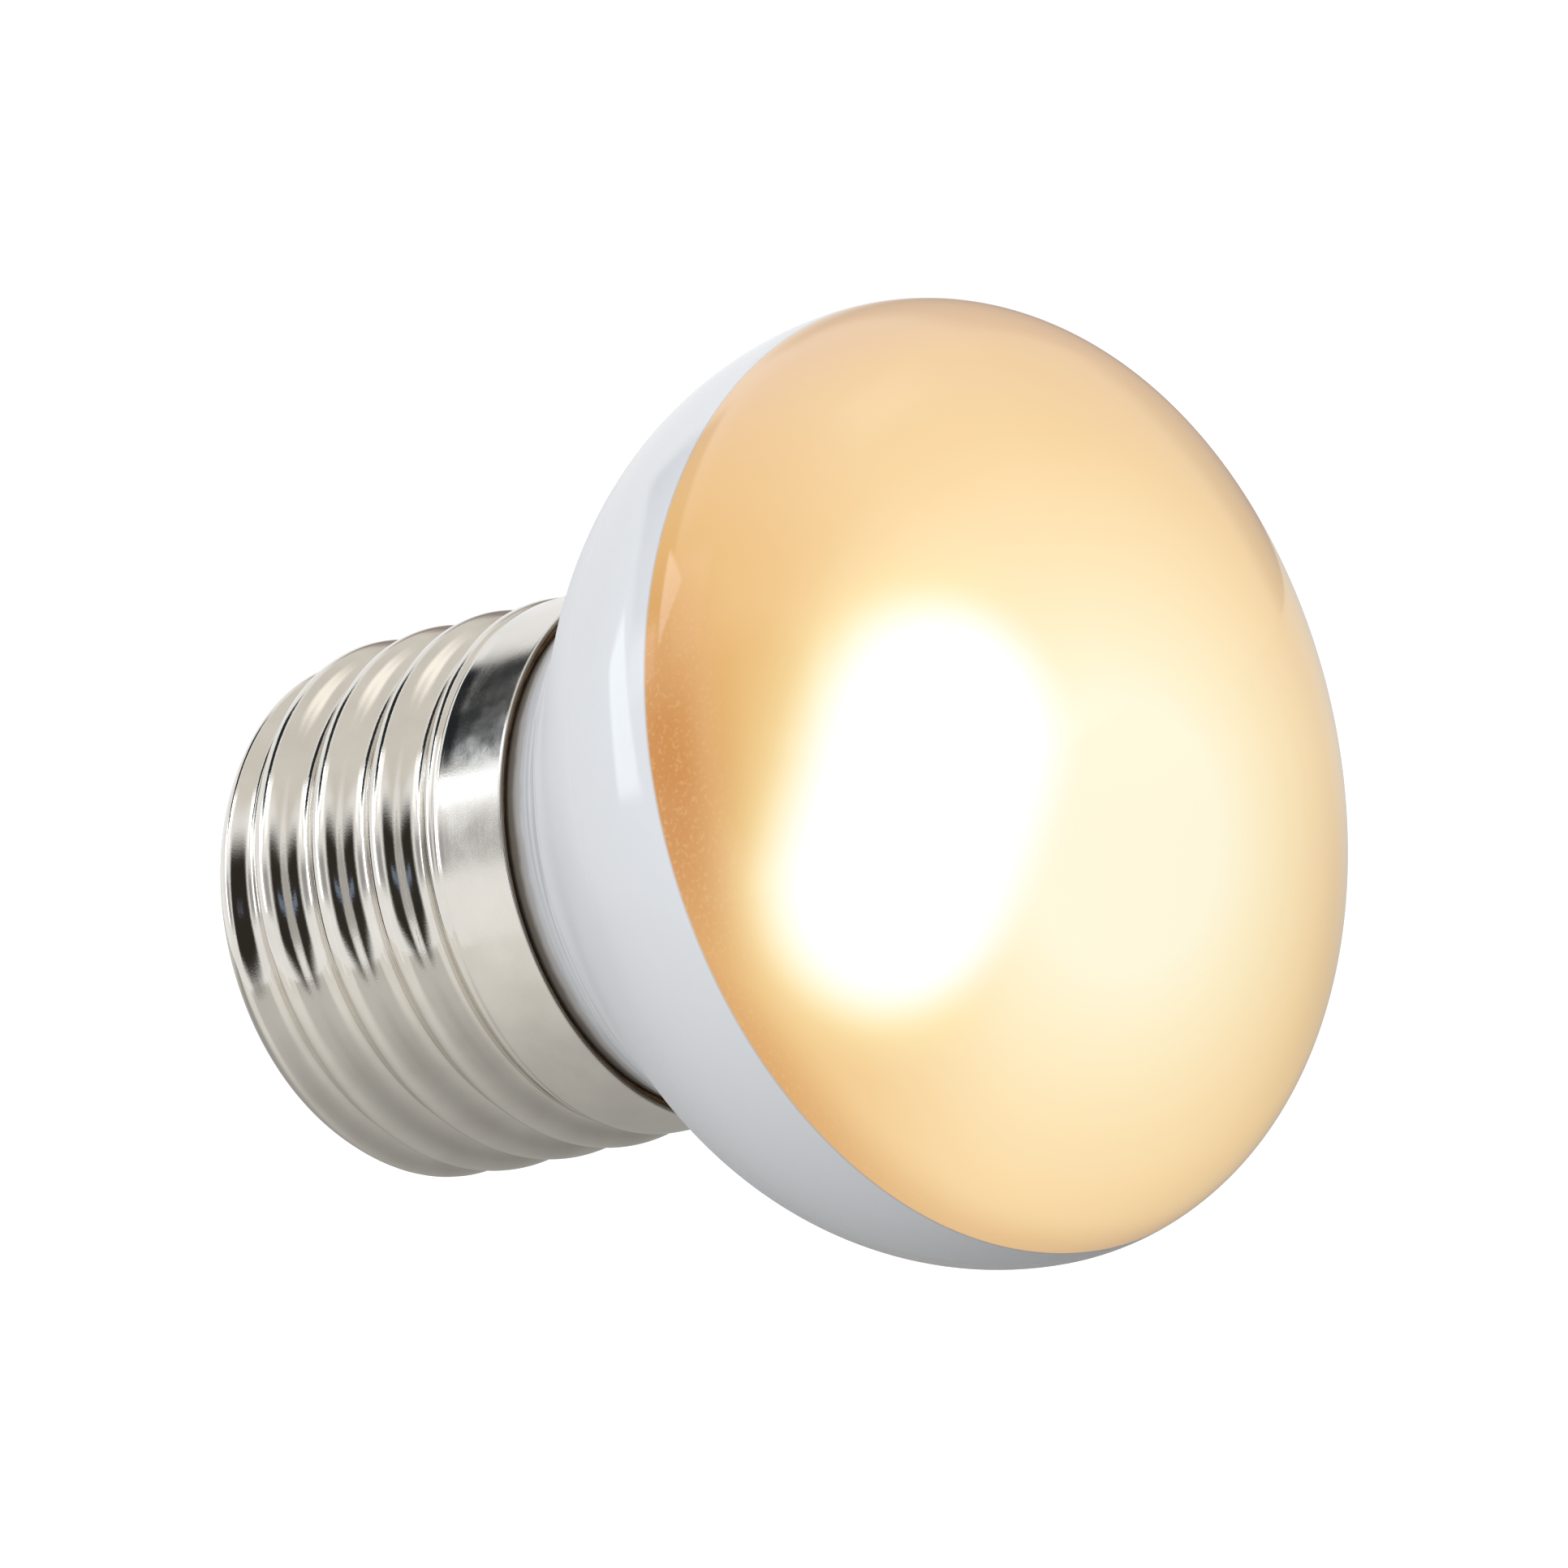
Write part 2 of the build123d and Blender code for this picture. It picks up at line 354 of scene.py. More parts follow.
# Glass bulb: one blown piece, white coat behind the widest circle, frosted and lit in front of it
glass = {
    "faceRise": 13.2, "faceShoulder": 9.0, "flareAngle": 44.3, "flareHeight": 0.5, "flareFillet": 14.0,
    "neckRadius": 11.4, "neckDepth": 12.4, "neckBevel": 0.8,
    "stemRim": 2.4, "stemRoof": 4.5, "stemDepth": 8.0, "stubRadius": 1.8, "stubLength": 6.0, "stubTip": 1.6,
    "rows": {
        "crown": 60, "shoulder": 40, "bowl": 70, "flare": 40, "fillet": 60, "neck": 12, "bevel": 3, "end": 3,
        "stem": 6, "roof": 3, "stub": 4, "tip": 4,
    },
    "around": 288,
    "ripple": 0.022, "rippleLength": 0.60, "rippleFrom": 0.5, "rippleTo": 3.4,    # blown rings above the rim
    # the coat's leaning edge, above the widest circle, and the thin bare line in front of it
    "coatEdge": 1.79, "coatLean": (2.15, -1.37), "coatLimit": 2.7, "limitSoft": 1.2,
    "edgeBlur": 0.05, "edgeLine": 0.09, "lineTint": (0.66, 0.60, 0.58),
    # bare neck and the coat's foot: mm above the rim and colour. The dark strip on the bare neck is painted
    # shade and a painted reflection of the cap's rim, the greys above it are painted shade from the skirt,
    # and the paler band near 4 mm is painted light
    "footShadeStops": [
        (0.35, (0.16, 0.14, 0.115)), (0.75, (0.39, 0.375, 0.36)), (1.1, (0.42, 0.41, 0.40)),
        (1.35, (0.57, 0.585, 0.605)), (2.0, (0.65, 0.67, 0.695)), (2.6, (0.75, 0.77, 0.80)),
        (3.3, (0.85, 0.875, 0.91)), (4.4, (0.87, 0.895, 0.93)), (6.2, (0.80, 0.825, 0.86)),
    ],
    "footSpan": 7.0, "ragged": 0.5, "dullFoot": (7.0, 15.0), "footRough": (0.5, 0.06),
    "rings": (1.2, 3.9), "ringFade": 0.5, "ringGap": 0.30, "ringLevels": (0.42, 0.64), "ringShare": 0.6,
    "ringTint": (0.44, 0.45, 0.47), "stain": (0.62, 0.64, 0.70), "stainShare": 0.06,
    "patch": 1.5, "grain": 0.21,
    # glow on the face: its bright middle, and colours by distance as a share of its reach
    "brightSide": 200.0, "brightHeight": 12.3, "brightReach": 27.0,
    "faceStops": [
        (0.22, (1.000, 0.939, 0.716)), (0.32, (1.000, 0.880, 0.597)), (0.45, (0.985, 0.800, 0.485)),
        (0.59, (0.965, 0.723, 0.397)), (0.70, (0.920, 0.658, 0.340)), (0.88, (0.862, 0.606, 0.338)),
        (0.96, (0.815, 0.565, 0.352)),
    ],
    # soft patches on the widest circle: degrees round the axis, size along each axis, and the fade's ends
    "gold": (0.800, 0.470, 0.165), "goldSide": 160.0, "goldSize": (18.0, 11.5, 27.0),
    "goldFade": (0.30, 1.05), "goldShare": 0.85,
    "amber": (0.600, 0.255, 0.066), "amberSide": 162.0, "amberSize": (11.0, 4.6, 14.0),
    "amberFade": (0.10, 1.05), "amberShare": 0.97,
    # amber band along the coat's edge, which ends on the upper side and is weaker on the lower side
    "amberBand": 3.0, "bandShare": 0.55, "bandUpper": (2.0, 14.0), "bandLower": (-17.0, -6.0),
    "lowerShare": 0.6,
    "fleck": (0.95, 0.72, 0.36), "fleckLevels": (0.50, 0.72), "fleckShare": 0.20,
    # hot spot: middle and size of its lobes, and the sums of both at which halo and spot start and are full
    "hotLobes": [((-13.57, -51.72, 5.27), 5.67), ((-18.25, -49.55, -0.65), 5.2)],
    "halo": (1.0, 0.84, 0.44), "haloLevels": (0.02895, 0.43494),
    "hotColour": (1.1, 1.08, 1.05), "hotLevels": (0.193, 0.659),
    "unlit": (0.03, 0.022, 0.014), "glowLevel": 1.02, "index": 1.5,
}


def crownRadius(s):
    # sphere of the face, which meets the rounding at its edge without a corner
    inner = headRadius - s["faceShoulder"]
    return (inner**2 + s["faceRise"]**2 - s["faceShoulder"]**2) / (2 * (s["faceRise"] - s["faceShoulder"]))


def filletMiddle(s):
    # middle of the wide rounding between neck and flare, in radius and height
    setback = s["flareFillet"] * math.tan(math.radians(s["flareAngle"]) / 2)
    return s["neckRadius"] + s["flareFillet"], rimHeight + s["flareHeight"] - setback


def glassProfile(s):
    # crown sphere, rounded edge, reflector arc, straight flare, wide rounding, neck, then up inside the stem
    rows = s["rows"]
    widest = crownHeight - s["faceRise"]
    inner = headRadius - s["faceShoulder"]
    crown = crownRadius(s)
    joint = math.degrees(math.atan2(inner, crown - s["faceRise"]))
    flare = math.radians(s["flareAngle"])
    neck = s["neckRadius"]
    rise = widest - rimHeight - s["flareHeight"]
    bowl = (rise * math.sin(flare) - (headRadius - neck) * math.cos(flare)) / (1 - math.cos(flare))
    neckEnd = rimHeight - s["neckDepth"]
    roof = neckEnd + s["stemDepth"]
    stub = roof - s["stubLength"]
    mouth = neck - s["neckBevel"] - s["stemRim"]
    bowlArc = arc((headRadius - bowl, widest), bowl, 0, -s["flareAngle"], rows["bowl"])
    filletArc = arc(filletMiddle(s), s["flareFillet"], 180 - s["flareAngle"], 180, rows["fillet"])
    profile = np.vstack([
        arc((0, crownHeight - crown), crown, 90, 90 - joint, rows["crown"])[:-1],
        arc((inner, widest), s["faceShoulder"], 90 - joint, 0, rows["shoulder"])[:-1],
        bowlArc[:-1],
        line(bowlArc[-1], filletArc[0], rows["flare"]),
        filletArc[:-1],
        line(filletArc[-1], (neck, neckEnd + s["neckBevel"]), rows["neck"]),
        line((neck, neckEnd + s["neckBevel"]), (neck - s["neckBevel"], neckEnd), rows["bevel"]),
        line((neck - s["neckBevel"], neckEnd), (mouth, neckEnd), rows["end"]),
        line((mouth, neckEnd), (s["stemRoof"], roof), rows["stem"]),
        line((s["stemRoof"], roof), (s["stubRadius"], roof), rows["roof"]),
        line((s["stubRadius"], roof), (s["stubRadius"], stub + s["stubTip"]), rows["stub"]),
        line((s["stubRadius"], stub + s["stubTip"]), (0, stub), rows["tip"]),
        [(0, stub)],
    ])
    # shallow rings where the flare was blown against the mould: a sine along the height, faded at both ends
    over = profile[:, 1] - rimHeight
    share = np.clip((over - s["rippleFrom"]) / (s["rippleTo"] - s["rippleFrom"]), 0, 1)
    wave = np.sin(2 * np.pi * (over - s["rippleFrom"]) / s["rippleLength"])
    profile[:, 0] -= s["ripple"] * (1 + wave) * np.sin(np.pi * share)
    return profile


def edgePatch(tree, s, point, key):
    # strength of a soft patch round a point on the widest circle
    turn = math.radians(s[key + "Side"])
    widest = crownHeight - s["faceRise"]
    middle = (headRadius * math.cos(turn), -widest, headRadius * math.sin(turn))
    away = distanceTo(tree, point, middle, s[key + "Size"])
    return between(tree, away, *s[key + "Fade"], s[key + "Share"], 0.0)


def faceGlow(tree, s, point, overEdge, grains):
    # light through the frost: cream round the bright middle, amber at the coat's edge, deepest beside the
    # hot spot
    crown = crownRadius(s)
    drop = s["faceRise"] - s["brightHeight"]
    out = math.sqrt(2 * crown * drop - drop**2)
    turn = math.radians(s["brightSide"])
    bright = (out * math.cos(turn), drop - crownHeight, out * math.sin(turn))
    glow = ramp(tree, distanceTo(tree, point, bright, (s["brightReach"],) * 3), s["faceStops"])
    glow = blend(tree, edgePatch(tree, s, point, "gold"), glow, s["gold"])
    up = parts(tree, point)["Z"]
    band = between(tree, overEdge, 0.0, s["amberBand"] * mm, s["bandShare"], 0.0)
    band = calc(tree, "MULTIPLY", band, between(tree, up, *metres(s["bandUpper"]), 1.0, 0.0))
    band = calc(tree, "MULTIPLY", band, between(tree, up, *metres(s["bandLower"]), s["lowerShare"], 1.0))
    amber = calc(tree, "MAXIMUM", edgePatch(tree, s, point, "amber"), band)
    glow = blend(tree, amber, glow, s["amber"])
    fleck = between(tree, grains, *s["fleckLevels"])
    fleck = calc(tree, "MULTIPLY", fleck, calc(tree, "MULTIPLY", amber, s["fleckShare"]))
    glow = blend(tree, fleck, glow, s["fleck"])
    # hot spot and halo from two bell curves over the distance
    lobes = 0.0
    for middle, size in s["hotLobes"]:
        away = distanceTo(tree, point, middle, (size,) * 3)
        square = calc(tree, "MULTIPLY", away, away)
        lobe = calc(tree, "POWER", math.e, calc(tree, "MULTIPLY", square, -1.0))
        lobes = calc(tree, "ADD", lobes, lobe)
    glow = blend(tree, between(tree, lobes, *s["haloLevels"]), glow, s["halo"], "LIGHTEN")
    glow = blend(tree, between(tree, lobes, *s["hotLevels"]), glow, s["hotColour"])
    # less of the light gets out at a flat angle
    mirror = node(tree, "ShaderNodeFresnel")
    mirror.inputs["IOR"].default_value = s["index"]
    passed = calc(tree, "SUBTRACT", 1.0, mirror.outputs[0])
    return blend(tree, passed, (0, 0, 0), glow)


def coatAndFootShade(tree, s, point, overRim, patches):
    # white coat, missing on the grey neck, with painted shade darkening its foot towards the rim and a
    # painted reflection of the cap's rim on the bare strip, fine grey rings and faint cloudy stains
    stops = [(at / s["footSpan"], colour) for at, colour in s["footShadeStops"]]
    coat = ramp(tree, calc(tree, "DIVIDE", overRim, s["footSpan"] * mm), stops)
    lines = place(tree, turnedLines, Point=point, Spacing=s["ringGap"])["Lines"]
    rings = between(tree, lines, *s["ringLevels"])
    ringFrom, ringTo = metres(s["rings"])
    fade = s["ringFade"] * mm
    for edge, inwards in ((ringFrom, fade), (ringTo, -fade)):
        rings = calc(tree, "MULTIPLY", rings, between(tree, overRim, edge, edge + inwards))
    coat = blend(tree, calc(tree, "MULTIPLY", rings, s["ringShare"]), coat, s["ringTint"])
    return blend(tree, calc(tree, "MULTIPLY", patches, s["stainShare"]), coat, s["stain"])


def glassMaterial(s):
    mat, tree, shader = newMaterial("litBulbGlass")
    point = objectPoint(tree)
    x, y, z = parts(tree, point)
    grain = place(tree, mottle, Point=point, Patch=s["patch"], Grain=s["grain"])
    widest = crownHeight - s["faceRise"]
    # height above the widest circle, and above the coat's edge: a leaning plane that levels off at its limit
    height = calc(tree, "SUBTRACT", calc(tree, "MULTIPLY", y, -1.0), widest * mm)
    leanX, leanZ = (lean / headRadius for lean in s["coatLean"])
    lean = calc(tree, "ADD", calc(tree, "MULTIPLY", x, leanX), calc(tree, "MULTIPLY", z, leanZ))
    plane = calc(tree, "ADD", lean, s["coatEdge"] * mm)
    level = node(tree, "ShaderNodeMath", operation="SMOOTH_MIN")
    for socket, value in zip(level.inputs, (plane, s["coatLimit"] * mm, s["limitSoft"] * mm)):
        feed(tree, socket, value)
    overEdge = calc(tree, "SUBTRACT", height, level.outputs[0])
    blur, lineTop = s["edgeBlur"], s["edgeLine"]
    face = between(tree, overEdge, -blur * mm, blur * mm)
    pastLine = between(tree, overEdge, (lineTop - blur) * mm, (lineTop + blur) * mm)

    glow = faceGlow(tree, s, point, overEdge, grain["Grains"])
    feed(tree, shader.inputs["Emission Color"], blend(tree, pastLine, (0, 0, 0), glow))
    shader.inputs["Emission Strength"].default_value = s["glowLevel"]
    # the coat's foot is uneven, and duller than the rest
    ragged = calc(tree, "MULTIPLY", calc(tree, "SUBTRACT", grain["Patches"], 0.5), s["ragged"] * mm)
    overRim = calc(tree, "ADD", calc(tree, "SUBTRACT", height, (rimHeight - widest) * mm), ragged)
    # coat colour with painted shade and a painted reflection of the cap's rim at its foot
    coat = coatAndFootShade(tree, s, point, overRim, grain["Patches"])
    bare = blend(tree, pastLine, s["lineTint"], s["unlit"])
    feed(tree, shader.inputs["Base Color"], blend(tree, face, coat, bare))
    dullFrom, dullTo = ((rimHeight - widest + over) * mm for over in s["dullFoot"])
    feed(tree, shader.inputs["Roughness"], between(tree, height, dullFrom, dullTo, *s["footRough"]))
    shader.inputs["IOR"].default_value = s["index"]
    return mat


dress(closedPiece("blown_bulb", spin(glassProfile(glass), glass["around"]), glassMaterial(glass)),
      "glass_bulb")


# Screw shell: thin nickel-plated sheet with the rolled thread
shell = {
    "crest": 13.15, "threadDepth": 1.0, "pitch": 3.629, "startTurn": 352.0,
    "runOut": 1.7, "lowerFade": 1.7, "upperFade": 2.2,
    "skirtStep": 0.2, "skirtHeight": 3.6, "shoulderWide": 2.6, "shoulderHigh": 2.9,
    "lipWide": 0.75, "sheet": 0.25, "rimRound": 0.06,
    "rollLine": 4.15, "rollDepth": 0.07, "rollWide": 0.14,      # fine line rolled round under the skirt
    "rows": {
        "lip": 5, "shoulder": 24, "thread": 140, "skirt": 24, "rim": 5, "skirtBack": 8, "threadBack": 40,
        "lipBack": 4,
    },
    "around": 300,
    "plate": [(0.3, (0.70, 0.675, 0.63)), (0.7, (0.77, 0.745, 0.70))],
    "patch": 2.2, "grain": 0.10, "spacing": 0.22, "rough": (0.35, 0.7, 0.05, 0.12),
    "skirtSatin": 0.10, "satinFade": 0.6, "bump": (0.2, 0.010),
}


def threadOffset(s, height, turn):
    # round thread: crest arc and root arc of one radius, which touch half way; it runs out over the shoulder
    # and under the skirt, and the line rolled below the skirt comes off it
    foot, top = shellFoot + s["shoulderHigh"], rimHeight - s["skirtHeight"]
    half = s["pitch"] / 2
    bend = (half**2 + s["threadDepth"]**2) / (4 * s["threadDepth"])
    phase = (height - foot) / s["pitch"] - (turn - math.radians(s["startTurn"])) / (2 * np.pi)
    along = np.abs(phase - np.round(phase)) * s["pitch"]
    nearCrest = np.sqrt(np.maximum(bend**2 - along**2, 0)) - bend
    nearRoot = bend - s["threadDepth"] - np.sqrt(np.maximum(bend**2 - (half - along)**2, 0))
    wall = s["skirtStep"] + np.where(along < half / 2, nearCrest, nearRoot)
    fade = eased((height - foot + s["runOut"]) / s["lowerFade"]) * eased((top - height) / s["upperFade"])
    rolled = np.exp(-((height - rimHeight + s["rollLine"]) / s["rollWide"])**2)
    return fade * wall - s["rollDepth"] * rolled


def shellGrid(s):
    # outside from the turned-in lip over shoulder, thread and skirt to the rim, then back down, one sheet in
    rows = s["rows"]
    turn = turns(s["around"])
    smooth = s["crest"] - s["skirtStep"]
    inset = s["sheet"]
    foot, top = shellFoot + s["shoulderHigh"], rimHeight - s["skirtHeight"]
    bendStart = smooth - s["shoulderWide"]
    lip = bendStart - s["lipWide"]
    quarter = np.radians(np.linspace(-90, 0, rows["shoulder"], endpoint=False))
    facing = np.stack([np.cos(quarter), np.sin(quarter)], 1)
    shoulder = (bendStart, foot) + facing * (s["shoulderWide"], s["shoulderHigh"])
    outside = np.vstack([line((lip, shellFoot), (bendStart, shellFoot), rows["lip"]), shoulder])
    heights = np.linspace(foot, top, rows["thread"])
    thread = np.stack([np.full_like(heights, smooth), heights], 1)
    edge = s["rimRound"]
    inner = smooth - inset
    skirt = np.vstack([
        line((smooth, top), (smooth, rimHeight - edge), rows["skirt"])[1:],
        arc((smooth - edge, rimHeight - edge), edge, 0, 90, rows["rim"]),
        arc((inner + edge, rimHeight - edge), edge, 90, 180, rows["rim"]),
        line((inner, rimHeight - 3 * edge), (inner, top), rows["skirtBack"]),
    ])
    backHeights = np.linspace(top, foot, rows["threadBack"])
    back = np.stack([np.full_like(backHeights, inner), backHeights], 1)
    lipTop = shellFoot + inset
    close = np.vstack([
        shoulder[::-1] - inset * facing[::-1],
        line((bendStart, lipTop), (lip, lipTop), rows["lipBack"])[1:],
        [(lip, lipTop)],
    ])
    profile = np.vstack([outside, thread, skirt, back, close])
    radius = profile[:, :1] + threadOffset(s, profile[:, 1:], turn[None, :])
    level = np.broadcast_to(-profile[:, 1:], radius.shape)
    return np.stack([radius * np.cos(turn), level, radius * np.sin(turn)], -1)


def nickelMaterial(s):
    mat, tree, shader = newMaterial("nickelPlate")
    point = objectPoint(tree)
    grain = place(tree, mottle, Point=point, Patch=s["patch"], Grain=s["grain"])
    lines = place(tree, turnedLines, Point=point, Spacing=s["spacing"])
    feed(tree, shader.inputs["Base Color"], ramp(tree, grain["Patches"], s["plate"]))
    shader.inputs["Metallic"].default_value = 1.0
    cloudy = between(tree, grain["Patches"], *s["rough"])
    # the skirt is a little duller than the thread
    skirtFoot = -(rimHeight - s["skirtHeight"]) * mm
    along = parts(tree, point)["Y"]
    satin = between(tree, along, skirtFoot - s["satinFade"] * mm, skirtFoot, s["skirtSatin"], 0.0)
    satin = calc(tree, "MULTIPLY", satin, calc(tree, "ADD", grain["Patches"], grain["Grains"]))
    feed(tree, shader.inputs["Roughness"], calc(tree, "ADD", cloudy, satin))
    height = calc(tree, "ADD", grain["Grains"], lines["Lines"])
    feed(tree, shader.inputs["Normal"], bump(tree, height, *s["bump"]))
    return mat


dress(closedPiece("rolled_shell", shellGrid(shell), nickelMaterial(shell), loop=True),
      "screw_shell")


# Helpers for the small turned pieces
def softCorners(corners, cut, most, steps):
    # closed outline with rounded corners: each is a short curve between points cut back along its two sides,
    # by no more than a share of the side
    corner = np.array(corners, float)
    share = np.linspace(0, 1, steps)[None, :, None]
    before, after = np.roll(corner, 1, 0) - corner, np.roll(corner, -1, 0) - corner
    reach = [np.minimum(cut, most * np.linalg.norm(side, axis=1))[:, None] for side in (before, after)]
    units = [side / np.linalg.norm(side, axis=1)[:, None] for side in (before, after)]
    start, end = (corner + unit * far for unit, far in zip(units, reach))
    middle = corner[:, None]
    curve = (1 - share)**2 * start[:, None] + 2 * share * (1 - share) * middle + share**2 * end[:, None]
    return curve.reshape(-1, 2)


def turnedPiece(name, s, material):
    outline = softCorners(s["corners"], s["rounding"], s["mostCut"], s["steps"])
    return closedPiece(name, spin(outline, s["around"]), material, loop=True)


# Basing cement: baked brown ring between skirt and neck, with an uneven top
cement = {
    "drop": 0.22, "dip": 0.12, "height": 3.2, "around": 320, "topRows": 10, "wallRows": 14,
    "waves": [(3, 0.30, 20), (7, 0.22, 140), (17, 0.16, 70), (41, 0.10, 10), (83, 0.06, 200)],
    "twist": 2.5, "plainSink": 0.75, "waveSink": 0.5, "wallSink": 0.25,
    "tones": [(0.30, (0.16, 0.08, 0.034)), (0.55, (0.36, 0.20, 0.09)), (0.75, (0.52, 0.33, 0.17))],
    "patch": 0.7, "grain": 0.12, "patchShare": 0.6, "grainShare": 0.4,
    "fleck": (0.80, 0.74, 0.64), "fleckSize": 0.30, "fleckEdge": (0.10, 0.16), "fleckLevels": (0.60, 0.66),
    "rough": (0.3, 0.7, 0.75, 0.95), "bump": (0.6, 0.05),
}


def neckRadiusAt(s, height):
    # straight neck, then the arc of the wide rounding
    out, low = filletMiddle(s)
    up = np.clip(height - low, 0, None)
    return out - np.sqrt(s["flareFillet"]**2 - up**2)


def cementGrid(s):
    # inside wall along the neck, top that sinks by waves round the axis and more at both walls, outside wall
    # down the skirt
    turn = turns(s["around"])[None, :]
    top, bore = rimHeight - s["drop"], shell["crest"] - shell["skirtStep"] - shell["sheet"]
    wall = np.linspace(top - s["height"], top, s["wallRows"])[:, None]
    across = np.linspace(0, 1, s["topRows"])[1:-1, None]
    inner, outer = neckRadiusAt(glass, wall), np.full_like(wall, bore)
    radius = np.vstack([inner, inner[-1:] + (bore - inner[-1:]) * across, outer[::-1]])
    height = np.vstack([wall, np.full_like(across, top), wall[::-1]])
    share = np.clip((radius - inner[-1:]) / (bore - inner[-1:]), 0, 1)
    isTop = np.vstack([np.zeros_like(wall), np.ones_like(across), np.zeros_like(wall)])
    isTop[s["wallRows"] - 1] = isTop[-s["wallRows"]] = 1.0
    swell = wander(turn + s["twist"] * share, s["waves"])
    atWalls = np.cos(2 * np.pi * share)
    sink = s["dip"] * (s["plainSink"] - s["waveSink"] * swell + s["wallSink"] * atWalls)
    height = height - isTop * np.clip(sink, 0, None)
    radius = np.broadcast_to(radius, height.shape)
    return np.stack([radius * np.cos(turn), -height, radius * np.sin(turn)], -1)


def cementMaterial(s):
    mat, tree, shader = newMaterial("bakedCement")
    point = objectPoint(tree)
    grain = place(tree, mottle, Point=point, Patch=s["patch"], Grain=s["grain"])
    patches = calc(tree, "MULTIPLY", grain["Patches"], s["patchShare"])
    grains = calc(tree, "MULTIPLY", grain["Grains"], s["grainShare"])
    tone = ramp(tree, calc(tree, "ADD", patches, grains), s["tones"])
    # pale flecks: the middles of a few cells
    cells = node(tree, "ShaderNodeTexVoronoi")
    cells.inputs["Scale"].default_value = 1 / (s["fleckSize"] * mm)
    feed(tree, cells.inputs["Vector"], point)
    fleck = between(tree, cells.outputs["Distance"], *s["fleckEdge"], 1.0, 0.0)
    fleck = calc(tree, "MULTIPLY", fleck, between(tree, grain["Grains"], *s["fleckLevels"]))
    feed(tree, shader.inputs["Base Color"], blend(tree, fleck, tone, s["fleck"]))
    feed(tree, shader.inputs["Roughness"], between(tree, grain["Grains"], *s["rough"]))
    feed(tree, shader.inputs["Normal"], bump(tree, grain["Grains"], *s["bump"]))
    return mat


dress(closedPiece("cement_ring", cementGrid(cement), cementMaterial(cement), loop=True),
      "basing_cement")


# Insulator: black glass pressed into the end of the shell
insulator = {
    "corners": [
        (2.4, 3.2), (2.4, 1.7), (5.3, 1.7), (9.6, 5.0), (9.6, 5.25), (10.2, 5.25), (11.3, 6.03), (11.7, 7.9),
        (7.0, 7.9), (3.0, 4.9), (1.2, 4.9), (1.2, 3.2),
    ],
    "rounding": 0.35, "mostCut": 0.4, "steps": 7, "around": 160,
    "tones": [(0.35, (0.010, 0.010, 0.012)), (0.75, (0.026, 0.025, 0.030))],
    "patch": 1.8, "grain": 0.25, "grainShare": 0.15, "rough": (0.3, 0.7, 0.07, 0.22), "bump": (0.35, 0.12),
}


def blackGlassMaterial(s):
    mat, tree, shader = newMaterial("blackGlass")
    point = objectPoint(tree)
    grain = place(tree, mottle, Point=point, Patch=s["patch"], Grain=s["grain"])
    feed(tree, shader.inputs["Base Color"], ramp(tree, grain["Patches"], s["tones"]))
    feed(tree, shader.inputs["Roughness"], between(tree, grain["Patches"], *s["rough"]))
    flow = calc(tree, "ADD", grain["Patches"], calc(tree, "MULTIPLY", grain["Grains"], s["grainShare"]))
    feed(tree, shader.inputs["Normal"], bump(tree, flow, *s["bump"]))
    return mat


dress(turnedPiece("pressed_insulator", insulator, blackGlassMaterial(insulator)),
      "cap_insulator")


# Centre contact: stamped brass eyelet with a bevelled edge and a shallow pressed ring
contact = {
    "corners": [
        (0.6, 0.9), (3.05, 0.9), (3.25, 1.0), (3.55, 1.0), (3.75, 0.9), (4.5, 0.9), (4.9, 1.3), (4.9, 1.7),
        (2.4, 1.7), (2.4, 3.2), (0.6, 3.2),
    ],
    "rounding": 0.12, "mostCut": 0.4, "steps": 5, "around": 140,
    "tones": [(0.30, (0.52, 0.37, 0.17)), (0.55, (0.78, 0.60, 0.30)), (0.80, (0.86, 0.69, 0.38))],
    "patch": 1.4, "grain": 0.12, "rough": (0.3, 0.7, 0.38, 0.20), "bump": (0.25, 0.015),
}


def brassMaterial(s):
    mat, tree, shader = newMaterial("stampedBrass")
    point = objectPoint(tree)
    grain = place(tree, mottle, Point=point, Patch=s["patch"], Grain=s["grain"])
    feed(tree, shader.inputs["Base Color"], ramp(tree, grain["Patches"], s["tones"]))
    shader.inputs["Metallic"].default_value = 1.0
    feed(tree, shader.inputs["Roughness"], between(tree, grain["Patches"], *s["rough"]))
    feed(tree, shader.inputs["Normal"], bump(tree, grain["Grains"], *s["bump"]))
    return mat


dress(turnedPiece("stamped_contact", contact, brassMaterial(contact)), "centre_contact")


# Solder: a dome on the contact and a lump on the skirt rim
solder = {
    "domeRadius": 2.6, "domeHeight": 0.9, "domeRows": 30, "plugRadius": 0.6, "plugTop": 2.2, "around": 120,
    "edgeWaves": [(2, 0.035, 30), (3, 0.030, 110), (5, 0.020, 250)],
    "lumpRadius": 1.1, "lumpPlace": (12.175, 0.0), "lumpRows": 40, "lumpSpread": 0.10,
    "wavePull": 0.6, "waveStart": 1.1, "secondWave": 0.6,
    "tones": [(0.30, (0.40, 0.40, 0.42)), (0.70, (0.68, 0.68, 0.69))],
    "patch": 0.9, "grain": 0.14, "grainShare": 0.3, "rough": (0.3, 0.7, 0.45, 0.24), "bump": (0.5, 0.10),
}


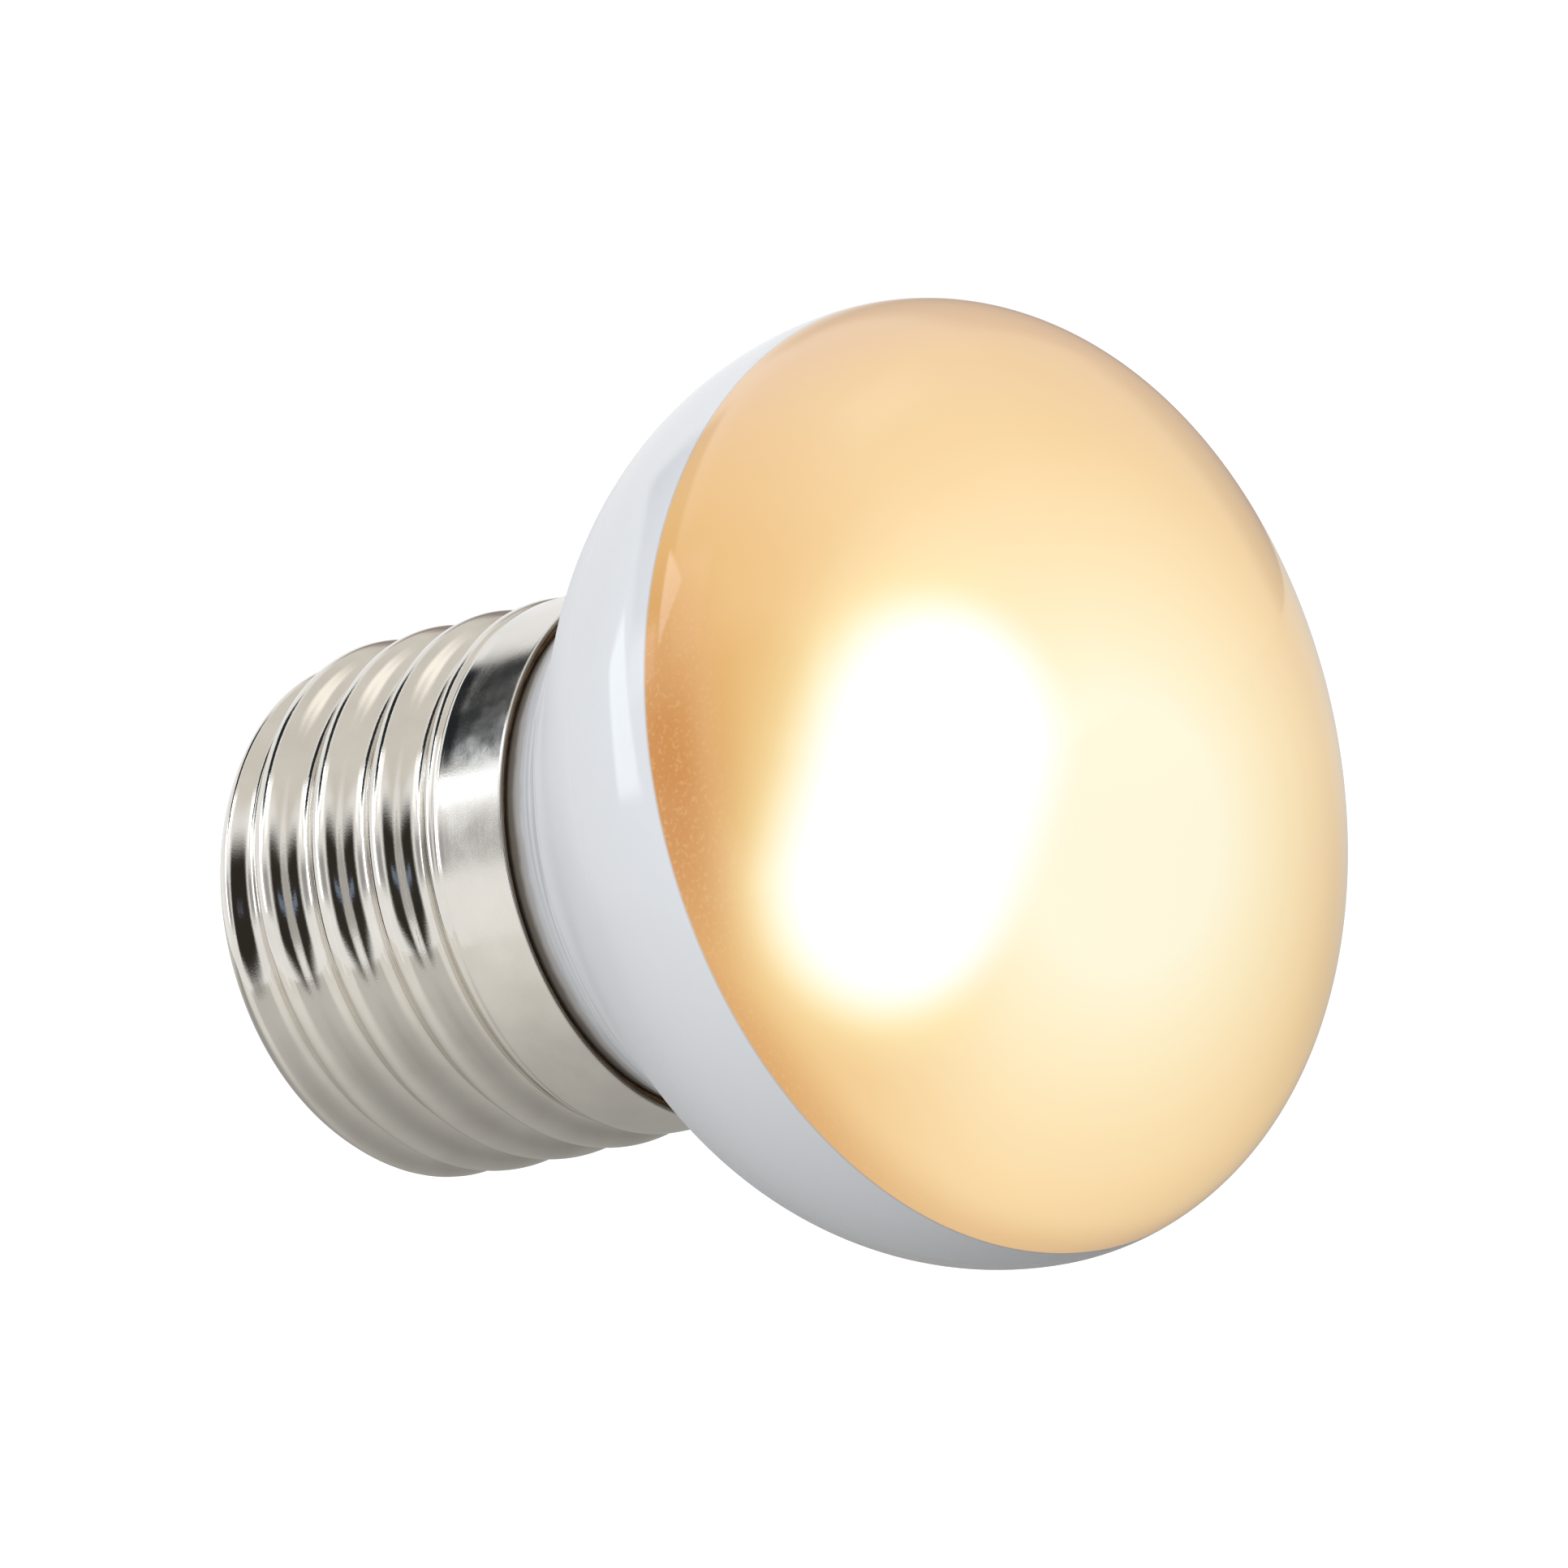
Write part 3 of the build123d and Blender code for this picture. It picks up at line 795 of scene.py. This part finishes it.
def domeGrid(s):
    # cap of a sphere from its tip to its rim, with a wavy rim, then the plug that fills the hole
    turn = turns(s["around"])
    bend = (s["domeRadius"]**2 + s["domeHeight"]**2) / (2 * s["domeHeight"])
    spread = math.degrees(math.asin(s["domeRadius"] / bend))
    dome = arc((0, bend), bend, -90, spread - 90, s["domeRows"])
    plug = [(s["plugRadius"], s["domeHeight"]), (s["plugRadius"], s["plugTop"]), (0, s["plugTop"])]
    grid = spin(np.vstack([dome, plug]), s["around"])
    share = np.concatenate([np.linspace(0, 1, len(dome)), np.zeros(len(plug))])[:, None]
    drawn = 1 - share * (sum(w[1] for w in s["edgeWaves"]) + wander(turn, s["edgeWaves"]))
    grid[..., 0] *= drawn
    grid[..., 2] *= drawn
    return grid


def lumpGrid(s):
    # ball pulled in by two waves over turn and slant, so that it lies like solder that has run
    slant = np.linspace(0, np.pi, s["lumpRows"])[:, None]
    turn = turns(s["around"])[None, :]
    first = np.sin(2 * turn + s["waveStart"]) * np.sin(slant)**2
    second = s["secondWave"] * np.sin(3 * turn - 2 * slant) * np.sin(slant)**3
    pull = 1 + s["wavePull"] * (first + second)
    radius = s["lumpRadius"] * (1 - s["lumpSpread"] * pull)
    out, side = s["lumpPlace"]
    x = out + radius * np.sin(slant) * np.cos(turn)
    z = side + radius * np.sin(slant) * np.sin(turn)
    y = -rimHeight + radius * np.cos(slant) * np.ones_like(turn)
    return np.stack([x, y, z], -1)


def solderMaterial(s):
    mat, tree, shader = newMaterial("castSolder")
    point = objectPoint(tree)
    grain = place(tree, mottle, Point=point, Patch=s["patch"], Grain=s["grain"])
    feed(tree, shader.inputs["Base Color"], ramp(tree, grain["Patches"], s["tones"]))
    shader.inputs["Metallic"].default_value = 1.0
    feed(tree, shader.inputs["Roughness"], between(tree, grain["Patches"], *s["rough"]))
    lumps = calc(tree, "ADD", grain["Patches"], calc(tree, "MULTIPLY", grain["Grains"], s["grainShare"]))
    feed(tree, shader.inputs["Normal"], bump(tree, lumps, *s["bump"]))
    return mat


tin = solderMaterial(solder)
dress(closedPiece("contact_dome", domeGrid(solder), tin), "contact_solder")
dress(closedPiece("rim_lump", lumpGrid(solder), tin), "side_solder")


# Lead wires keep their CAD shape and get a drawn copper finish
leads = {
    "nodes": ("centre_lead", "side_lead"),
    "tones": [(0.3, (0.42, 0.20, 0.11)), (0.7, (0.72, 0.43, 0.28))],
    "patch": 0.8, "grain": 0.06, "spacing": 0.1, "rough": (0.3, 0.7, 0.25, 0.45), "bump": (0.3, 0.01),
}


def copperMaterial(s):
    mat, tree, shader = newMaterial("drawnCopper")
    point = objectPoint(tree)
    grain = place(tree, mottle, Point=point, Patch=s["patch"], Grain=s["grain"])
    lines = place(tree, turnedLines, Point=point, Spacing=s["spacing"])
    feed(tree, shader.inputs["Base Color"], ramp(tree, grain["Patches"], s["tones"]))
    shader.inputs["Metallic"].default_value = 1.0
    feed(tree, shader.inputs["Roughness"], between(tree, grain["Grains"], *s["rough"]))
    feed(tree, shader.inputs["Normal"], bump(tree, lines["Lines"], *s["bump"]))
    return mat


copper = copperMaterial(leads)
for name in leads["nodes"]:
    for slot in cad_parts[name].material_slots:
        slot.material = copper
print("leads finished")


# Studio: pale floor and world, three soft lamps, and cards that only reflections show; its sizes are in m
studio = {
    "floorHeight": -0.075, "floorSide": 24.0, "floorGrey": 0.33, "floorRough": 0.9, "floorSeen": 0.86,
    "worldLight": 0.49,
    # place, size and watts
    "lamps": [
        ("sideLamp", (-0.822, -0.165, 0.320), 0.5, 4.1),
        ("frontLamp", (0.135, -0.796, 0.450), 0.5, 2.2),
        ("fillLamp", (0.700, 0.350, 0.550), 0.5, 2.2),
    ],
    "tableHeight": -0.070, "tableSide": 4.0, "tableColour": (1.0, 0.98, 0.93), "tableSteps": 120,
    "tableSoft": 0.02, "tableHigh": 0.89, "tableLow": 0.335, "tableMiddle": -0.055, "tableSlope": 0.05,
    "slopeLimit": 30.0, "tableFront": 0.72, "frontFrom": -0.06, "frontSpan": 0.12,
    "tableFar": 0.30, "farFrom": 0.08, "farSpan": 0.25, "cardSteps": 24,
    # corners: degrees round the lamp's axis from +X towards +Z, and degrees from +Y;
    # then colour, level, soft edge and distance
    "cards": [
        ("windowCard", ((97, 39), (108, 32), (152, 30), (156, 43)), (0.85, 0.93, 1.0), 3.6, 0.08, 0.60),
        ("windowMiddle", ((114, 40), (115, 54), (130, 54), (132, 40)), (0.90, 0.95, 1.0), 1.9, 0.20, 0.605),
        ("windowTip", ((97, 54.5), (111, 66), (114, 63), (124, 54)), (0.85, 0.93, 1.0), 3.0, 0.08, 0.61),
        ("ridgeLight", ((100, 60), (104, 82), (130, 82), (134, 60)), (1.0, 1.0, 1.0), 1.4, 0.20, 0.62),
        ("fillCard", ((38, 97), (38, 127), (78, 127), (78, 97)), (1.0, 0.97, 0.90), 1.30, 0.40, 0.63),
        ("blueGlint", ((146, 110), (144, 148), (152, 148), (154, 110)), (0.50, 0.62, 0.85), 0.40, 0.30, 0.64),
        ("darkPatch", ((122, 80), (106, 152), (204, 152), (174, 80)), (1.0, 0.86, 0.7), 0.035, 0.24, 0.65),
        ("crestGrey", ((96, 143), (96, 172), (172, 172), (172, 143)), (1.0, 0.96, 0.91), 0.52, 0.18, 0.655),
        ("greyPole", ((130, 40), (134, 84), (164, 84), (160, 40)), (1.0, 0.98, 0.98), 0.42, 0.35, 0.66),
        ("lowLight", ((150, 44), (152, 60), (200, 60), (200, 44)), (1.0, 0.98, 0.96), 1.05, 0.35, 0.665),
        ("darkStrip", ((54, 41), (54, 58), (122, 60), (114, 41)), (0.75, 0.87, 1.0), 0.03, 0.15, 0.67),
        ("paleSide", ((28, 58), (24, 144), (124, 144), (114, 58)), (1.0, 0.96, 0.89), 0.80, 0.12, 0.68),
        ("dimSide", ((-20, 52), (-20, 92), (48, 92), (48, 52)), (1.0, 0.86, 0.80), 0.35, 0.22, 0.69),
        ("softSide", ((-20, 62), (-20, 160), (48, 160), (48, 62)), (1.0, 0.90, 0.82), 0.66, 0.25, 0.70),
    ],
}


def cardMaterial(name, colour):
    # plain glow whose level and soft edge come from the card's own values
    mat, tree, shader = newMaterial(name)
    tree.nodes.remove(shader)
    glow = node(tree, "ShaderNodeEmission")
    glow.inputs["Color"].default_value = (*colour, 1.0)
    level = node(tree, "ShaderNodeAttribute", attribute_name="cardLevel")
    feed(tree, glow.inputs["Strength"], level.outputs["Fac"])
    mix = node(tree, "ShaderNodeMixShader")
    edge = node(tree, "ShaderNodeAttribute", attribute_name="cardEdge")
    feed(tree, mix.inputs[0], edge.outputs["Fac"])
    feed(tree, mix.inputs[1], node(tree, "ShaderNodeBsdfTransparent").outputs[0])
    feed(tree, mix.inputs[2], glow.outputs[0])
    feed(tree, tree.nodes["Material Output"].inputs["Surface"], mix.outputs[0])
    return mat


def putCard(name, verts, across, along, level, colour, soft):
    # grid card seen only in reflections, fading out at its border
    ids = np.arange(verts.shape[0] * verts.shape[1]).reshape(verts.shape[:2])
    quads = np.stack([ids[:-1, :-1], ids[1:, :-1], ids[1:, 1:], ids[:-1, 1:]], -1).reshape(-1, 4)
    card = fillMesh(name, verts.reshape(-1, 3), quads, noTris)
    inside = [eased(np.minimum(share, 1 - share) / soft) for share in (across, along)]
    for label, values in (("cardEdge", inside[0] * inside[1]), ("cardLevel", level)):
        layer = card.data.attributes.new(label, "FLOAT", "POINT")
        layer.data.foreach_set("value", values.ravel().astype(np.float32))
    card.data.materials.append(cardMaterial(name, colour))
    card.visible_camera = card.visible_diffuse = card.visible_transmission = card.visible_shadow = False


def cardShares(count):
    # shares across and along a square grid, each from 0 to 1
    steps = np.linspace(0, 1, count)
    return np.meshgrid(steps, steps, indexing="ij")


def domeCard(s, name, corners, colour, level, soft, reach):
    # part of a sphere round the lamp: turn and slant run evenly between the four corners
    u, v = cardShares(s["cardSteps"])
    weights = ((1 - u) * (1 - v), (1 - u) * v, u * v, u * (1 - v))
    turn, slant = (np.radians(sum(w * c[k] for w, c in zip(weights, corners))) for k in (0, 1))
    verts = reach * np.stack([np.sin(slant) * np.cos(turn), np.cos(slant), np.sin(slant) * np.sin(turn)], -1)
    putCard(name, verts - (0, crownHeight * mm / 2, 0), u, v, np.full_like(u, level), colour, soft)


def tableCard(s):
    # flat card just over the floor, finest under the lamp: its level falls in an S curve from left to right,
    # is lower in front and rises again far to the right
    u, v = cardShares(s["tableSteps"])
    x, y = ((2 * share - 1)**3 * s["tableSide"] / 2 for share in (u, v))
    slope = np.clip((x - s["tableMiddle"]) / s["tableSlope"], -s["slopeLimit"], s["slopeLimit"])
    level = s["tableLow"] + (s["tableHigh"] - s["tableLow"]) / (1 + np.exp(slope))
    level *= s["tableFront"] + (1 - s["tableFront"]) * eased((y - s["frontFrom"]) / s["frontSpan"])
    level += s["tableFar"] * eased((x - s["farFrom"]) / s["farSpan"])
    verts = np.stack([x, y, np.full_like(x, s["tableHeight"])], -1)
    putCard("tableCard", verts, u, v, level, s["tableColour"], s["tableSoft"])


def seenDirectly(tree):
    # 1 for rays that show the background: straight from the camera, mirrored or through glass
    rays = node(tree, "ShaderNodeLightPath").outputs
    mirrored = calc(tree, "MAXIMUM", rays["Is Glossy Ray"], rays["Is Transmission Ray"])
    return calc(tree, "MAXIMUM", rays["Is Camera Ray"], mirrored)


def makeStudio(s):
    half = s["floorSide"] / 2
    corners = np.array([(-half, -half, 0), (half, -half, 0), (half, half, 0), (-half, half, 0)])
    corners = corners + (0, 0, s["floorHeight"])
    floor = fillMesh("floor", corners, np.array([[0, 1, 2, 3]]), noTris)
    mat, tree, shader = newMaterial("paleFloor")
    shader.inputs["Base Color"].default_value = (s["floorGrey"],) * 3 + (1.0,)
    shader.inputs["Roughness"].default_value = s["floorRough"]
    shader.inputs["Specular IOR Level"].default_value = 0.0
    shader.inputs["Emission Color"].default_value = (1, 1, 1, 1)
    feed(tree, shader.inputs["Emission Strength"], calc(tree, "MULTIPLY", seenDirectly(tree), s["floorSeen"]))
    floor.data.materials.append(mat)

    world = bpy.data.worlds.new("paleStudio")
    world.use_nodes = True
    scene.world = world
    sky = world.node_tree
    back = sky.nodes["Background"]
    back.inputs["Color"].default_value = (1, 1, 1, 1)
    level = between(sky, seenDirectly(sky), 0.0, 1.0, s["worldLight"], 1.0, smooth=False)
    feed(sky, back.inputs["Strength"], level)

    middle = Vector((0, -crownHeight * mm / 2, 0))
    for name, spot, size, watts in s["lamps"]:
        data = bpy.data.lights.new(name, "AREA")
        data.size = size
        data.energy = watts
        lamp = bpy.data.objects.new(name, data)
        scene.collection.objects.link(lamp)
        lamp.location = spot
        lamp.rotation_euler = (middle - lamp.location).to_track_quat("-Z", "Y").to_euler()
        lamp.visible_glossy = False
    tableCard(s)
    for card in s["cards"]:
        domeCard(s, *card)


makeStudio(studio)
print("studio lit")
